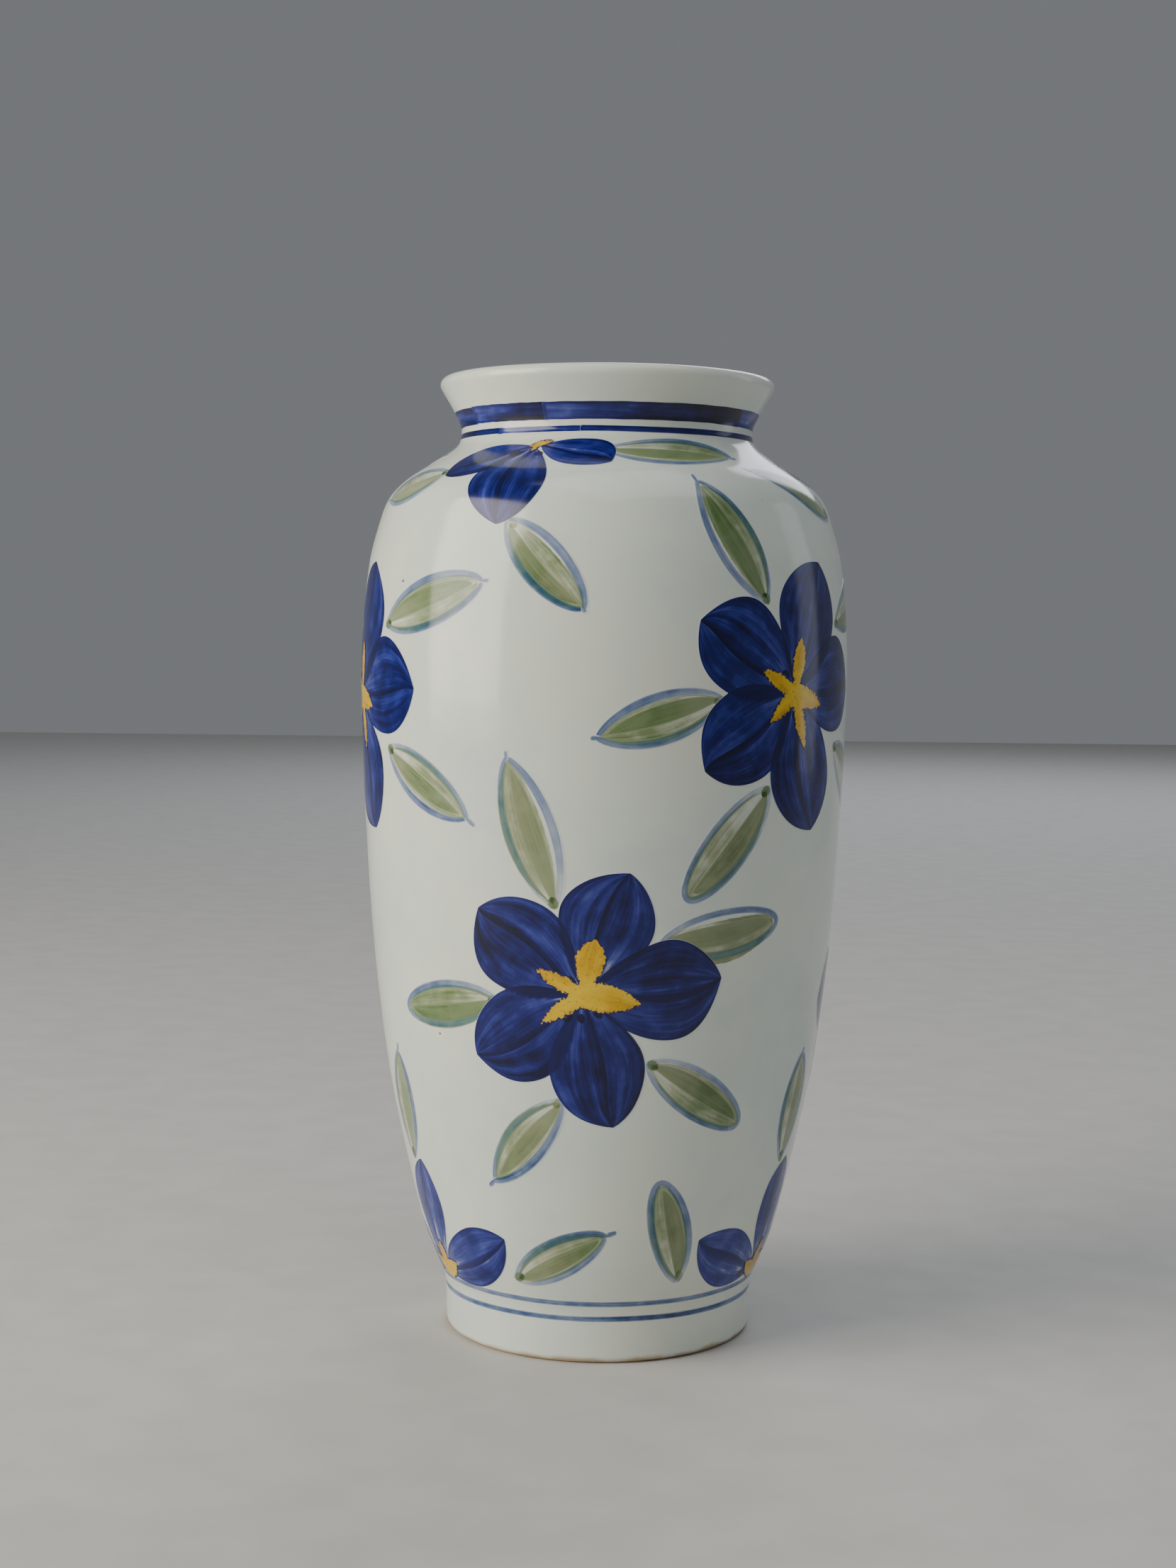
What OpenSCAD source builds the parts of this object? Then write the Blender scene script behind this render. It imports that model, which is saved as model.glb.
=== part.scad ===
// Round-bellied ceramic flower vase with painted bands, flowers and leaves.
// +Z is up, the Z axis is the axis of the vase, and its foot stands on Z = 0.
// The front faces -Y. Angles round the vase are counted from the front towards +X.

/* [Body] */
// Height of the vase
vase_h = 300; // [260:5:340]
// Width across the belly, the widest place
belly_d = 153; // [140:1:170]
// Width across the foot
foot_d = 97; // [90:1:104]
// Width at the narrowest place of the neck
neck_d = 91.6; // [84:0.2:98]
// Width across the rim
rim_d = 105; // [100:1:114]

/* [Wall] */
// Thickness of the fired clay wall
wall = 5; // [4:0.5:6]
// Thickness of the glaze on each side of the clay
glaze = 0.5; // [0.3:0.1:0.8]
// Thickness of the floor
floor_t = 6; // [5:0.5:8]
// Depth of the hollow under the foot
recess = 4; // [3:0.5:5]

/* [Painting] */
// Thickness of one layer of paint
paint = 0.2; // [0.1:0.05:0.3]
// Length of a petal, from the middle of its flower
petal_l = 40; // [34:1:42]
// Width of a petal
petal_w = 29; // [22:1:32]
// Width of a leaf with its outline
leaf_w = 14; // [10:1:16]
// Width of the brush line round a leaf
line_w = 1.6; // [1:0.2:2]

/* [Hidden] */
$fn = 144;
belly_r = belly_d / 2;
foot_r = foot_d / 2;
neck_r = neck_d / 2;
rim_r = rim_d / 2;
tall = vase_h / 300;

// Heights where the outline changes its character.
foot_edge_z = 2.5;
foot_top_z = 16 * tall;
foot_top_r = foot_r + 0.7;
belly_z = 200 * tall;
neck_z = 284 * tall;

// The flare from foot to belly: share of the height, share of the widening.
flare = [[0.04, 0.11], [0.09, 0.24], [0.2, 0.435], [0.36, 0.66], [0.565, 0.84], [0.78, 0.945]];
// The shoulder from belly to neck: share of the height, share of the width that is left.
shoulder = [[0.24, 0.995], [0.5, 0.93], [0.64, 0.835], [0.74, 0.73], [0.81, 0.545], [0.88, 0.25], [0.94, 0.036]];

// The rim is a round bead on the end of the flaring neck. Its angles are counted from level.
bead_r = 2.6;
bead_x = rim_r - bead_r;
bead_z = vase_h - bead_r;
bead_start = -30;
crown = 90;
bead_end = 150;

// Stations of the outside line, from the foot up, as [height, radius].
stations = concat(
    [[foot_edge_z, foot_r], [9 * tall, foot_r + 0.3], [foot_top_z, foot_top_r]],
    [for (s = flare) [foot_top_z + s[0] * (belly_z - foot_top_z), foot_top_r + s[1] * (belly_r - foot_top_r)]],
    [[belly_z, belly_r]],
    [for (s = shoulder) [belly_z + s[0] * (neck_z - belly_z), neck_r + s[1] * (belly_r - neck_r)]],
    [[neck_z, neck_r], [neck_z + 6 * tall, neck_r + 2.7]],
    [[bead_z + bead_r * sin(bead_start), bead_x + bead_r * cos(bead_start)]]
);
last = len(stations) - 1;

// A smooth curve through the stations. At each one it is parallel to the line between its neighbours.
function slope(i) =
    let (a = stations[max(i - 1, 0)], b = stations[min(i + 1, last)])
    (b[1] - a[1]) / (b[0] - a[0]);
function station_below(z, i = 0) = (i >= last - 1 || z < stations[i + 1][0]) ? i : station_below(z, i + 1);
function outside_r(z) =
    let (i = station_below(z), a = stations[i], b = stations[i + 1], h = b[0] - a[0], t = (z - a[0]) / h)
    (1 + 2 * t) * pow(1 - t, 2) * a[1] + t * t * (3 - 2 * t) * b[1]
    + h * t * pow(1 - t, 2) * slope(i) - h * t * t * (1 - t) * slope(i + 1);

// How far the outside faces up, in degrees. The foot counts as upright.
function lean(z) = z <= foot_top_z ? 0 : atan((outside_r(z - 0.1) - outside_r(z + 0.1)) / 0.2);
// The point of the wall at height z that lies "deep" under the outer face, measured square to it.
function wall_point(z, deep) = [outside_r(z) - deep * cos(lean(z)), z - deep * sin(lean(z))];

// Heights at which the drawn line has a point: four steps between two stations.
steps = 4;
levels = [for (i = [0 : last - 1], k = [0 : steps - 1])
    stations[i][0] + (stations[i + 1][0] - stations[i][0]) * k / steps];
function levels_between(low, high) =
    concat([low], [for (z = levels) if (z > low + 0.2 && z < high - 0.2) z], [high]);
function line_up(low, high, deep) = [for (z = levels_between(low, high)) wall_point(z, deep)];
function reversed(line) = [for (i = [len(line) - 1 : -1 : 0]) line[i]];
// The rim's bead, one point every 10 degrees, without the point that it starts from.
function bead(r, from, to) = [for (a = [from + 10 : 10 : to]) [bead_x + r * cos(a), bead_z + r * sin(a)]];

// Heights where one ring of the clay wall ends and the next begins.
floor_z = recess + floor_t;
heel_z = stations[3][0];
lower_z = stations[6][0];
middle_z = stations[8][0];
upper_z = stations[11][0];
shoulder_z = stations[13][0];
collar_z = stations[16][0];
neck_top_z = stations[18][0];
lip_z = stations[last][0];

// The rounded corner inside, between wall and floor, as a quarter of an oval from the top down.
clay_in = glaze + wall;
corner_w = 15;
corner_top = wall_point(heel_z, clay_in);
function inner_corner(inset) = [for (a = [0 : 11.25 : 90])
    [corner_top[0] - corner_w + (corner_w - inset) * cos(a),
     corner_top[1] - (corner_top[1] - floor_z - inset) * sin(a)]];

// The painted bands, as [lowest, highest].
neck_broad = [283.8 * tall, 288.8 * tall];
neck_narrow = [280.2 * tall, 281.9 * tall];
foot_upper = [18.3 * tall, 19.5 * tall];
foot_lower = [13.3 * tall, 14.5 * tall];

// A row of flowers: [radius that its drawing is wrapped on, size of its flowers, directions of the
// petals, leaves]. Direction 0 is to the right and 90 is up. A leaf is [direction and distance of
// its stalk end from the middle of the flower, direction and length of the leaf].
neck_row = [60, 0.7, [195, 351, 261], [[195, 28, 194, 27], [357, 25, 358, 45], [272, 23, 308, 33]]];
upper_row = [76.5, 1, [5, 69, 147, 212, 284],
    [[113, 29, 121, 40], [183, 28, 197, 39], [250, 30, 229, 42], [39, 33, 15, 43], [328, 31, 329, 40]]];
middle_row = [72, 1, [2, 73, 144, 214, 280],
    [[108, 27, 108, 45], [34, 26, 8, 40], [186, 27, 189, 38], [258, 33, 226, 37], [314, 29, 329, 40]]];
foot_row = [56, 0.95, [24, 91, 158], [[95, 37, 87, 34], [7, 39, 30, 33], [175, 37, 106, 34]]];

// Flowers of each row, as [angle round the vase, height of the middle, how far the flower is
// turned, which of its row's leaves it has].
neck_flowers = [[-24, 276 * tall, 0, [0, 1, 2]], [97, 275 * tall, 0, [0, 1, 2]], [217, 276 * tall, 3, [0, 1, 2]]];
upper_flowers = [[47.5, 203.5 * tall, 0, [0, 1, 2, 3, 4]], [166, 198 * tall, -6, [0, 1, 2, 3, 4]],
    [-78, 201 * tall, 0, [0, 2, 3, 4]]];
middle_flowers = [[-4, 116 * tall, 0, [0, 1, 2, 3, 4]], [104, 109 * tall, -36, [0, 1, 4]],
    [226, 116 * tall, 4, [1, 2, 3, 4]]];
foot_flowers = [[-64, 21 * tall, 0, [0, 1]], [67, 22 * tall, 0, [0, 1, 2]], [179, 21 * tall, 0, [0, 1, 2]]];

// A closed ring of the clay wall between two heights.
module wall_ring(low, high) {
    color("#EDE6D8")
    rotate_extrude()
    polygon(concat(line_up(low, high, glaze), reversed(line_up(low, high, clay_in))));
}

// The ring that the vase stands on, bare where it meets the table.
module foot_ring() {
    edge_r = 2;
    edge_x = foot_r - glaze - edge_r;
    ring_in = foot_r - 9;
    chamfer = 1.2;
    color("#D9C3A0")
    rotate_extrude()
    polygon(concat(
        [[ring_in, recess], [ring_in, chamfer], [ring_in + chamfer, 0]],
        [for (a = [-90 : 15 : 0]) [edge_x + edge_r * cos(a), edge_r + edge_r * sin(a)]],
        line_up(foot_edge_z, recess, glaze)
    ));
}

// The flat floor.
module base_floor() {
    color("#EDE6D8")
    rotate_extrude()
    polygon(concat([[0, recess]], line_up(recess, floor_z, glaze), [[0, floor_z]]));
}

// The lowest ring of the wall, with the rounded corner inside it.
module heel_wall() {
    color("#EDE6D8")
    rotate_extrude()
    polygon(concat(line_up(floor_z, heel_z, glaze), inner_corner(0)));
}

module lower_wall() {
    wall_ring(heel_z, lower_z);
}

module middle_wall() {
    wall_ring(lower_z, middle_z);
}

module upper_wall() {
    wall_ring(middle_z, upper_z);
}

module shoulder_wall() {
    wall_ring(upper_z, shoulder_z);
}

module collar_wall() {
    wall_ring(shoulder_z, collar_z);
}

module neck_wall() {
    wall_ring(collar_z, neck_top_z);
}

// The flaring rim, which ends in a round bead.
module rim_lip() {
    color("#EDE6D8")
    rotate_extrude()
    polygon(concat(
        line_up(neck_top_z, lip_z, glaze),
        bead(bead_r - glaze, bead_start, bead_end),
        [wall_point(neck_top_z, clay_in)]
    ));
}

// The glaze outside, from just above the bare edge of the foot to the crown of the rim.
module outer_glaze() {
    color("#E4E9E6")
    rotate_extrude()
    polygon(concat(
        line_up(foot_edge_z, lip_z, 0),
        bead(bead_r, bead_start, crown),
        reversed(bead(bead_r - glaze, bead_start, crown)),
        reversed(line_up(foot_edge_z, lip_z, glaze))
    ));
}

// The glaze inside, from the crown of the rim down the wall and across the floor.
module inner_glaze() {
    color("#E4E9E6")
    rotate_extrude()
    polygon(concat(
        [[0, floor_z]],
        reversed(inner_corner(0)),
        [for (z = levels_between(heel_z, neck_top_z)) if (z > heel_z) wall_point(z, clay_in)],
        reversed(bead(bead_r - glaze, crown, bead_end)),
        [[bead_x, vase_h - glaze], [bead_x, vase_h]],
        bead(bead_r, crown, bead_end),
        reversed([for (z = levels_between(heel_z, neck_top_z)) if (z > heel_z) wall_point(z, clay_in + glaze)]),
        inner_corner(glaze),
        [[0, floor_z + glaze]]
    ));
}

// The glaze on the hollow under the foot.
module underside_glaze() {
    color("#E4E9E6")
    translate([0, 0, recess - glaze])
    cylinder(h = glaze, r = foot_r - 9);
}

// A thin skin on the outer face. Layer 0 lies on the glaze, and layer 1 on layer 0.
module paint_skin(low, high, layer = 0) {
    rotate_extrude()
    polygon(concat(line_up(low, high, -paint * (layer + 1)), reversed(line_up(low, high, -paint * layer))));
}

module band(span) {
    color("#2A3478") paint_skin(span[0], span[1]);
}

module foot_line(span) {
    color("#4A6596") paint_skin(span[0], span[1]);
}

// The outline of one brush mark: pointed at both ends and widest a little before its middle.
function brush_mark(u, v, dir, length, width) =
    let (
        n = 10,
        side = [for (k = [0 : n]) [length * k / n, width / 2 * pow(sin(180 * pow(k / n, 0.9)), 0.75)]],
        round = concat(side, [for (k = [n - 1 : -1 : 1]) [side[k][0], -side[k][1]]])
    )
    [for (p = round) [u + p[0] * cos(dir) - p[1] * sin(dir), v + p[0] * sin(dir) + p[1] * cos(dir)]];

// Turns a drawing that is wrapped on the wall at height z into the same drawing seen square on.
function seen_flat(line, z, wrap_r) =
    [for (p = line) [outside_r(z + p[1]) * sin(p[0] / wrap_r * 180 / PI), p[1]]];

// Cuts a drawing out of the paint skin round the place [angle, height] on the wall.
module on_wall(angle, z, reach, layer) {
    intersection() {
        paint_skin(max(z - reach, foot_upper[1]), min(z + reach, neck_narrow[0]), layer);
        rotate([0, 0, angle]) translate([0, 0, z]) rotate([90, 0, 0])
        linear_extrude(height = belly_d) children();
    }
}

// The petals of one flower.
module petals(place, row) {
    length = petal_l * row[1];
    color("#2A3478")
    on_wall(place[0], place[1], length + 2, 0)
    for (dir = row[2]) {
        polygon(seen_flat(brush_mark(0, 0, dir + place[2], length, petal_w * row[1]), place[1], row[0]));
    }
}

// The yellow dab in the middle of one flower, with an arm along each petal.
module centre(place, row) {
    length = 0.42 * petal_l * row[1];
    width = 7;
    back = 1.5;
    color("#E3AE3A")
    on_wall(place[0], place[1], length + 2, 1)
    for (petal = row[2]) {
        dir = petal + place[2];
        polygon(seen_flat(brush_mark(-back * cos(dir), -back * sin(dir), dir, length, width), place[1], row[0]));
    }
}

// One leaf, drawn round the middle of its own length. A shrink above 0 leaves out the brush line.
module leaf_shape(dir, full_length, z, wrap_r, shrink) {
    length = full_length - 2 * shrink;
    start = [-length / 2 * cos(dir), -length / 2 * sin(dir)];
    polygon(seen_flat(brush_mark(start[0], start[1], dir, length, leaf_w - 2 * shrink), z, wrap_r));
}

// Lays each leaf of a flower in its place: washes are the green inside, outlines the line round it.
module leaves(places, row, outlines) {
    for (place = places, i = place[3]) {
        leaf = row[3][i];
        stalk_dir = leaf[0] + place[2];
        dir = leaf[2] + place[2];
        length = leaf[3];
        u = leaf[1] * cos(stalk_dir) + length / 2 * cos(dir);
        z = place[1] + leaf[1] * sin(stalk_dir) + length / 2 * sin(dir);
        on_wall(place[0] + u / row[0] * 180 / PI, z, length / 2 + 4, 0)
        if (outlines) {
            difference() {
                leaf_shape(dir, length, z, row[0], 0);
                leaf_shape(dir, length, z, row[0], line_w);
            }
        } else {
            leaf_shape(dir, length, z, row[0], line_w);
        }
    }
}

module leaf_washes(places, row) {
    color("#93A56B") leaves(places, row, false);
}

module leaf_outlines(places, row) {
    color("#587CA6") leaves(places, row, true);
}

foot_ring();
base_floor();
heel_wall();
lower_wall();
middle_wall();
upper_wall();
shoulder_wall();
collar_wall();
neck_wall();
rim_lip();
outer_glaze();
inner_glaze();
underside_glaze();
band(neck_broad);  // neck_broad_band
band(neck_narrow);  // neck_narrow_band
foot_line(foot_upper);  // foot_upper_line
foot_line(foot_lower);  // foot_lower_line
petals(neck_flowers[0], neck_row);  // neck_flower_1
petals(neck_flowers[1], neck_row);  // neck_flower_2
petals(neck_flowers[2], neck_row);  // neck_flower_3
petals(upper_flowers[0], upper_row);  // upper_flower_1
petals(upper_flowers[1], upper_row);  // upper_flower_2
petals(upper_flowers[2], upper_row);  // upper_flower_3
petals(middle_flowers[0], middle_row);  // middle_flower_1
petals(middle_flowers[1], middle_row);  // middle_flower_2
petals(middle_flowers[2], middle_row);  // middle_flower_3
petals(foot_flowers[0], foot_row);  // foot_flower_1
petals(foot_flowers[1], foot_row);  // foot_flower_2
petals(foot_flowers[2], foot_row);  // foot_flower_3
centre(neck_flowers[0], neck_row);  // neck_centre_1
centre(neck_flowers[1], neck_row);  // neck_centre_2
centre(neck_flowers[2], neck_row);  // neck_centre_3
centre(upper_flowers[0], upper_row);  // upper_centre_1
centre(upper_flowers[1], upper_row);  // upper_centre_2
centre(upper_flowers[2], upper_row);  // upper_centre_3
centre(middle_flowers[0], middle_row);  // middle_centre_1
centre(middle_flowers[1], middle_row);  // middle_centre_2
centre(middle_flowers[2], middle_row);  // middle_centre_3
centre(foot_flowers[0], foot_row);  // foot_centre_1
centre(foot_flowers[1], foot_row);  // foot_centre_2
centre(foot_flowers[2], foot_row);  // foot_centre_3
leaf_washes(neck_flowers, neck_row);  // neck_leaf_washes
leaf_washes(upper_flowers, upper_row);  // upper_leaf_washes
leaf_washes(middle_flowers, middle_row);  // middle_leaf_washes
leaf_washes(foot_flowers, foot_row);  // foot_leaf_washes
leaf_outlines(neck_flowers, neck_row);  // neck_leaf_outlines
leaf_outlines(upper_flowers, upper_row);  // upper_leaf_outlines
leaf_outlines(middle_flowers, middle_row);  // middle_leaf_outlines
leaf_outlines(foot_flowers, foot_row);  // foot_leaf_outlines
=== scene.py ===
# %% [markdown]
# # A hand-painted flower vase
#
# The real vase is stoneware: one clay wall, dried, fired, dipped in a glossy glaze and painted with
# cobalt blue, green and yellow. The CAD model already holds its sizes, so this lesson never moves or
# resizes anything. It measures the CAD model and lays smooth glaze and brush marks exactly on it.

# %% Load the CAD model
import math

import bpy
import numpy as np
from mathutils import Matrix, Vector


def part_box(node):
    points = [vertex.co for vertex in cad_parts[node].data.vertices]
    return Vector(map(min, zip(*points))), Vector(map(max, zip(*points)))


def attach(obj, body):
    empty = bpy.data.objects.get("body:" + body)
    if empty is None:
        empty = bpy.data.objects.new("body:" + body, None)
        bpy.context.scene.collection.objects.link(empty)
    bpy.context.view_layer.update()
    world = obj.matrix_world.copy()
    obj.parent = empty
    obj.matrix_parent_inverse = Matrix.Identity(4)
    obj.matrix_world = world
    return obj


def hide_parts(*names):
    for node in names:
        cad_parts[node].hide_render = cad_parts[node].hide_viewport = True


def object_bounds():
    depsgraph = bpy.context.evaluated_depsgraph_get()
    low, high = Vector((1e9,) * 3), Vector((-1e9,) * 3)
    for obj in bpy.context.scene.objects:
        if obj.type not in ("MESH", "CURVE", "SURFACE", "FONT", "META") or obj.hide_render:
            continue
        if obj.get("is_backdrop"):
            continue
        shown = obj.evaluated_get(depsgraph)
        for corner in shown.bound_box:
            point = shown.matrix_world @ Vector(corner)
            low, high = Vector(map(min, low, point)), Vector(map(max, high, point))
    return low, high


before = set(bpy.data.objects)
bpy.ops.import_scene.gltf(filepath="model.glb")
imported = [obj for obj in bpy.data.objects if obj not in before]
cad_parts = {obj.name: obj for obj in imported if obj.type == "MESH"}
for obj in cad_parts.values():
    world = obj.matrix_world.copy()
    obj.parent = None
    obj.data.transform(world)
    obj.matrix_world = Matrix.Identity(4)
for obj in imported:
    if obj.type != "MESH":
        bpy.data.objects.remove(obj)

mm = 0.001
cad_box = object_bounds()
print("CAD nodes:", len(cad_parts), " box, mm:", [round(c / mm, 2) for c in cad_box[1] - cad_box[0]])

# %% [markdown]
# ## Measuring the wall
#
# Everything in this scene follows one line: the outside of the wall, as radius by height. It could be
# typed in again, but then it might drift away from the CAD model. A ray shot at the CAD glaze from
# the side finds the radius at any height instead. The CAD line has short straight steps, which a
# glossy glaze would show as rings, so the measured line is smoothed a little.

# %% Measure the outside of the wall
outer_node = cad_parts["outer_glaze"]
inner_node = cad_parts["inner_glaze"]
glaze_low, glaze_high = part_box("outer_glaze")
bead_r = 2.6 * mm       # the rim ends in a round bead of this radius
bead_z = glaze_high.z - bead_r
off_seam = 0.05 * mm    # rays pass just beside the seam of the CAD mesh
bpy.context.view_layer.update()


def outside_hit(z):
    place = outer_node.ray_cast(Vector((0.2, off_seam, z)), Vector((-1, 0, 0)))[1]
    return math.hypot(place.x, place.y)


def inside_hit(z):
    place = inner_node.ray_cast(Vector((0, off_seam, z)), Vector((1, 0, 0)))[1]
    return math.hypot(place.x, place.y)


bead_x = outside_hit(bead_z) - bead_r
wall_top = bead_z - bead_r / 2
heights = np.arange(glaze_low.z + 0.02 * mm, wall_top, 0.5 * mm)
radii = np.array([outside_hit(z) for z in heights])
window = np.hanning(11)[1:-1]
window /= window.sum()
radii = np.convolve(np.pad(radii, 4, mode="reflect", reflect_type="odd"), window, mode="valid")
leans = np.gradient(radii, heights)
runs = np.concatenate([[0], np.cumsum(np.hypot(np.diff(radii), np.diff(heights)))])
print("widest radius, mm:", round(radii.max() / mm, 2))
print("wall from foot to rim, mm:", round(runs[-1] / mm, 1))

# %% [markdown]
# The glaze surface of this scene lies a little under the CAD surface. That leaves room for the paint,
# so that the finished vase is never larger than the CAD model. The next function gives the place of
# any point of the wall: an angle counted from the front, a height, and how far it is lifted off the
# glaze, measured square to the wall.

# %% Any point of the wall
sunk = 0.15 * mm


def wall_line(z, lift):
    """Radius and height of the wall at height z, lifted square to the wall."""
    lean = np.interp(z, heights, leans)
    square = np.sqrt(1 + lean**2)
    return np.interp(z, heights, radii) + (lift - sunk) / square, z - (lift - sunk) * lean / square


def wall_points(angle, z, lift):
    r, up = wall_line(z, lift)
    return np.column_stack([r * np.sin(angle), -r * np.cos(angle), up])


print("front of the belly, mm:", np.round(wall_points(np.zeros(1), np.array([0.2]), 0) / mm, 2))

# %% [markdown]
# ## Turning a line on the wheel
#
# A vase is a solid of revolution, so its skin is best made as a potter makes it: one line, spun round
# the axis. A plane is merged into a single vertex, the vertex is extruded from point to point along
# the line, and Spin turns the line into a surface. Spin leaves a seam and may turn the faces inside
# out, so the doubles are merged and the normals are put right before the skin gets a thickness.

# %% The lathe
def named(name):
    """Gives the object just made its name."""
    piece = bpy.context.object
    piece.name = name
    piece.data.name = name
    return piece


def lathe(name, line, steps=192):
    """Spins a line of (radius, height) points round the Z axis."""
    bpy.ops.object.select_all(action="DESELECT")
    bpy.ops.mesh.primitive_plane_add(size=mm, location=(0, 0, 0))
    piece = named(name)
    bpy.ops.object.mode_set(mode="EDIT")
    bpy.ops.mesh.select_all(action="SELECT")
    bpy.ops.mesh.merge(type="CENTER")
    bpy.ops.transform.translate(value=(line[0][0], 0, line[0][1]))
    for here, there in zip(line, line[1:]):
        step = (there[0] - here[0], 0, there[1] - here[1])
        bpy.ops.mesh.extrude_region_move(TRANSFORM_OT_translate={"value": step})
    bpy.ops.mesh.select_all(action="SELECT")
    bpy.ops.mesh.spin(steps=steps, angle=2 * math.pi, center=(0, 0, 0), axis=(0, 0, 1))
    bpy.ops.mesh.select_all(action="SELECT")
    bpy.ops.mesh.remove_doubles(threshold=0.001 * mm)
    bpy.ops.mesh.normals_make_consistent(inside=False)
    bpy.ops.object.mode_set(mode="OBJECT")
    return piece


def give_thickness(piece, thickness):
    """Makes a skin a closed shell that grows inwards from its face."""
    bpy.ops.object.select_all(action="DESELECT")
    piece.select_set(True)
    bpy.context.view_layer.objects.active = piece
    shell = piece.modifiers.new("shell", "SOLIDIFY")
    shell.thickness = thickness
    shell.offset = -1
    bpy.ops.object.modifier_apply(modifier=shell.name)
    bpy.ops.object.shade_smooth_by_angle(angle=math.radians(35))


# %% [markdown]
# ## The coat of glaze
#
# The whole vase is dipped, so its glaze is one coat: up the outside, over the rim and down the inside
# to the floor. It is one line here too. The points stand close together where the wall curves sharply,
# at the foot and the neck, and further apart on the belly. The rim's bead is a half circle. Inside,
# the line is measured with rays from the axis.

# %% The glaze
heel_r = 2.35 * mm      # the coat follows the rounded outer edge of the foot
floor_top = inner_node.ray_cast(Vector((mm, mm, 0.2)), Vector((0, 0, -1)))[1].z
outside_z = np.concatenate([
    np.linspace(heights[0], 0.028, 24), np.linspace(0.031, 0.235, 64), np.linspace(0.237, wall_top, 56)])
outside = np.column_stack(wall_line(outside_z, 0))
heel_angles = np.radians(np.arange(-42, 1, 7))
heel_x = outside[0, 0] - heel_r
heel = np.column_stack([
    heel_x + heel_r * np.cos(heel_angles),
    heel_r + 0.02 * mm + heel_r * np.sin(heel_angles)])
bead_angles = np.radians(np.arange(-20, 151, 10))
bead = np.column_stack([
    bead_x + (bead_r - sunk) * np.cos(bead_angles),
    bead_z + (bead_r - sunk) * np.sin(bead_angles)])
corner_top = 0.0234
inside_z = np.concatenate([
    np.linspace(wall_top - mm, 0.235, 34), np.linspace(0.23, corner_top + mm, 28),
    floor_top + (corner_top - floor_top) * (1 - np.sin(np.linspace(0.05, 1.45, 12)))])
inside = np.column_stack([[inside_hit(z) + sunk for z in inside_z], inside_z])
floor_line = np.array([[0.02, floor_top], [0.01, floor_top], [0, floor_top]])
glaze_coat = lathe("glaze_coat", np.concatenate([heel, outside, bead, inside, floor_line]))
lowest = min(glaze_coat.data.polygons, key=lambda face: face.center.z)
if lowest.normal.xy.dot(lowest.center.xy) < 0:
    glaze_coat.data.flip_normals()
give_thickness(glaze_coat, 0.3 * mm)
print("glaze_coat faces:", len(glaze_coat.data.polygons))

# %% [markdown]
# ## The bare foot
#
# The potter wipes the glaze off the ring that stands in the kiln, or it would stick to the shelf. So
# the foot is a ring of bare clay with a rounded outer edge and a small chamfer inside, spun from a
# closed line. The hollow under the foot keeps its glaze, as a shallow dish.

# %% The foot ring and the glaze under it
ring_low, ring_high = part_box("foot_ring")
ring_out = outside_hit(glaze_low.z + mm) - 0.5 * mm
ring_in = ring_out - 8.5 * mm
edge_r = 2 * mm
edge_angles = np.radians(np.arange(-90, 1, 15))
ring_line = [(ring_in + 0.2 * mm, ring_high.z), (ring_in, ring_high.z - 0.3 * mm), (ring_in, 1.4 * mm),
             (ring_in + 0.3 * mm, 0.9 * mm), (ring_in + 1.2 * mm, 0.1 * mm), (ring_in + 1.6 * mm, 0)]
ring_line += [(ring_out - edge_r + edge_r * math.cos(a), edge_r + edge_r * math.sin(a))
              for a in edge_angles]
ring_line += [(ring_out, ring_high.z - 0.1 * mm), (ring_out - 0.1 * mm, ring_high.z), ring_line[0]]
foot_ring = lathe("bare_foot_ring", ring_line)
bpy.ops.object.shade_smooth_by_angle(angle=math.radians(40))

dish_low, dish_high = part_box("underside_glaze")
dish_line = [(0, dish_low.z + 0.15 * mm), (0.02, dish_low.z + 0.12 * mm), (0.035, dish_low.z + 0.03 * mm),
             (ring_in - 0.6 * mm, dish_low.z), (ring_in - 0.1 * mm, dish_low.z + 0.1 * mm),
             (ring_in, dish_high.z), (0, dish_high.z)]
underside_coat = lathe("underside_glaze_coat", dish_line)
bpy.ops.object.shade_smooth_by_angle(angle=math.radians(40))
print("foot ring, mm:", round(ring_in / mm, 1), "to", round(ring_out / mm, 1))

# %% [markdown]
# ## Brush marks
#
# Each petal, leaf and line on the vase is a few strokes of a soft brush. The decoration could be one
# flat drawing laid over the wall, but then it would have no strokes. So each mark is its own thin
# skin. It starts as a grid whose length runs along the stroke, so that the paint can streak along it
# later. A mark is drawn flat first, in millimetres: u to the right and v up.
#
# A blade is a mark between two edges, such as half a petal. A ribbon is a mark of even width along a
# path, such as the line round a leaf. Each gives, for shares along and across the stroke, the place
# on the flat drawing and the distance to the nearest edge.

# %% Blades and ribbons
dice = np.random.default_rng(20)


def turned(x, y, degrees):
    c, s = math.cos(math.radians(degrees)), math.sin(math.radians(degrees))
    return x * c - y * s, x * s + y * c


def rough_edge(share, size):
    """A hairy edge, as dry bristles leave it."""
    a, b, c = dice.random(3) * 2 * math.pi
    waves = 0.5 * np.sin(50 * share + a) + 0.3 * np.sin(97 * share + b) + 0.3 * np.sin(171 * share + c)
    return size * waves


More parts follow.
